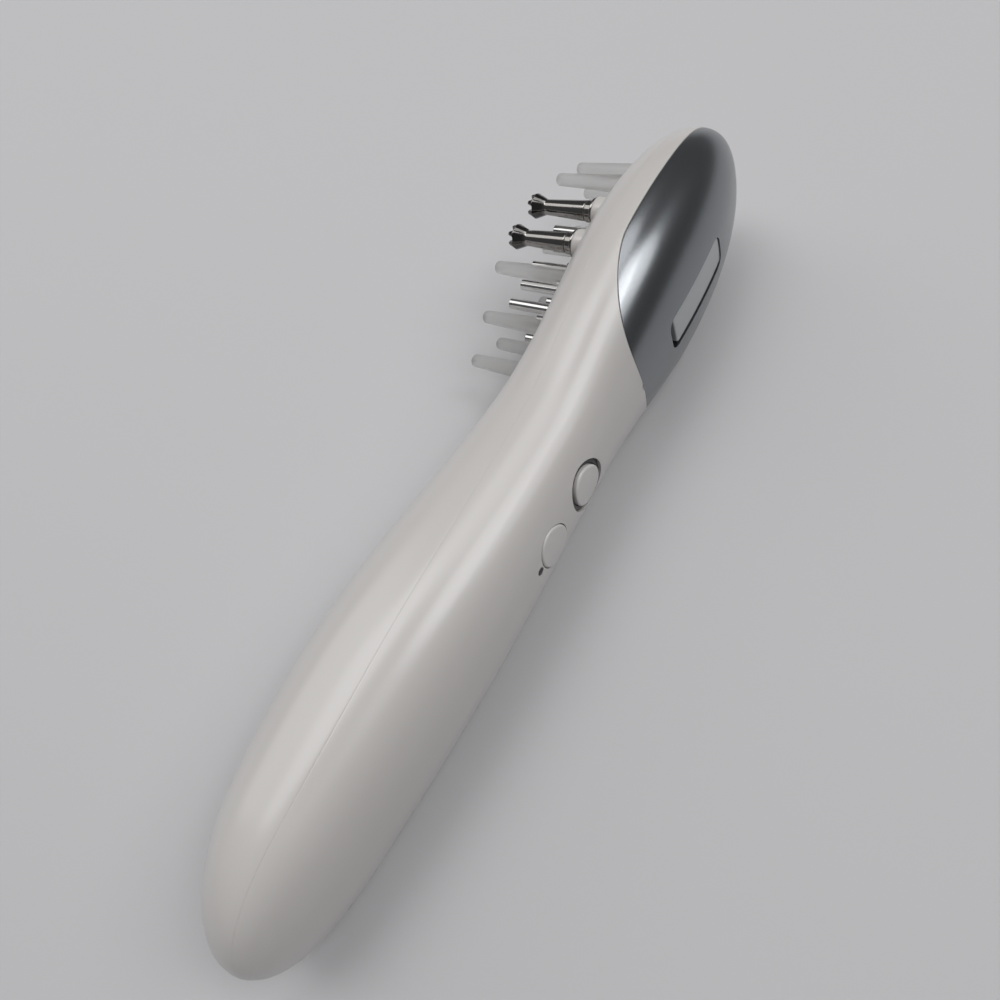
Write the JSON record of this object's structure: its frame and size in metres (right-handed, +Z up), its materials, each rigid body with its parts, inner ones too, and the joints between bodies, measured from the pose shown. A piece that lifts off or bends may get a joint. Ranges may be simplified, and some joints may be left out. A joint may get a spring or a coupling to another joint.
{
  "type": "laser hair comb",
  "caption": "Curved handheld hair comb with a ring of clear light teeth, polished laser barrels and crown-tipped contacts, two push buttons and a slider on its back.",
  "frame": {"origin": "centre of the bounding box's foot, on the table under the comb as it lies on its side", "axes": "+Y from the butt of the handle to the tip of the head, -X the side with the teeth (rolled 16.5 degrees down), +X the back with the buttons and the cover, +Z up from the table"},
  "size_m": [0.0518, 0.2164, 0.0443],
  "materials": {
    "shell_white": "glossy warm white moulded plastic",
    "cover_silver": "plastic with a satin silver metallic coat",
    "button_white": "glossy white moulded plastic",
    "ring_dark": "dark moulded plastic",
    "clear_plastic": "clear moulded plastic",
    "polished_metal": "polished plated metal",
    "board_green": "circuit board laminate",
    "ribbon_amber": "flat ribbon cable",
    "battery_wrap": "battery can in a plastic sleeve",
    "contact_brass": "bright brass",
    "led_red": "red lamp body",
    "plain_steel": "plain steel",
    "motor_rubber": "soft black rubber"
  },
  "bodies": {
    "casing": {"front_shell": "shell_white", "back_shell": "shell_white", "head_cover": "cover_silver", "button_ring": "ring_dark", "power_switch": "ring_dark", "mode_switch": "ring_dark", "light_pipe": "ring_dark", "indicator_led": "led_red", "main_board": "board_green", "slide_switch": "plain_steel", "switch_board": "board_green", "switch_screws": "plain_steel", "battery": "battery_wrap", "battery_cradle": "ring_dark", "battery_contacts": "contact_brass", "charging_jack": "ring_dark", "laser_board": "board_green", "laser_diodes": "contact_brass", "tooth_leds": "led_red", "board_ribbon": "ribbon_amber", "vibration_motor": "plain_steel", "motor_cradle": "motor_rubber", "shell_screws": "plain_steel", "board_screws": "plain_steel", "clear_tooth_1": "clear_plastic", "clear_tooth_2": "clear_plastic", "clear_tooth_3": "clear_plastic", "clear_tooth_4": "clear_plastic", "clear_tooth_5": "clear_plastic", "clear_tooth_6": "clear_plastic", "clear_tooth_7": "clear_plastic", "clear_tooth_8": "clear_plastic", "clear_tooth_9": "clear_plastic", "clear_tooth_10": "clear_plastic", "clear_tooth_11": "clear_plastic", "laser_barrel_1": "polished_metal", "laser_barrel_2": "polished_metal", "laser_barrel_3": "polished_metal", "laser_barrel_4": "polished_metal", "laser_barrel_5": "polished_metal", "laser_barrel_6": "polished_metal", "laser_barrel_7": "polished_metal", "laser_barrel_8": "polished_metal", "laser_barrel_9": "polished_metal", "laser_barrel_10": "polished_metal", "crown_contact_1": "polished_metal", "crown_contact_2": "polished_metal", "contact_bush_1": "button_white", "contact_bush_2": "button_white"},
    "power_button": {"power_button": "button_white", "power_stem": "ring_dark"},
    "mode_button": {"mode_button": "button_white", "mode_stem": "ring_dark"},
    "slider": {"slider": "button_white", "slide_lever": "ring_dark"},
    "rotor": {"eccentric_weight": "plain_steel"}
  },
  "joints": [
    {"name": "power_press", "type": "slide", "parent": "casing", "child": "power_button", "axis": [-0.9588, 0.0027, -0.284], "range_m": [0, 0.0006], "stiffness_N_per_m": 500, "springref_m": -0.001},
    {"name": "mode_press", "type": "slide", "parent": "casing", "child": "mode_button", "axis": [-0.9588, 0.0027, -0.284], "range_m": [0, 0.0006], "stiffness_N_per_m": 500, "springref_m": -0.001},
    {"name": "slider_travel", "type": "slide", "parent": "casing", "child": "slider", "axis": [0, -1, -0.0094], "range_m": [0, 0.0021]},
    {"name": "rotor_spin", "type": "hinge", "parent": "casing", "child": "rotor", "pos_m": [0.0095, 0.07824, 0.02226], "axis": [0, 1, 0.0094], "continuous": true}
  ]
}
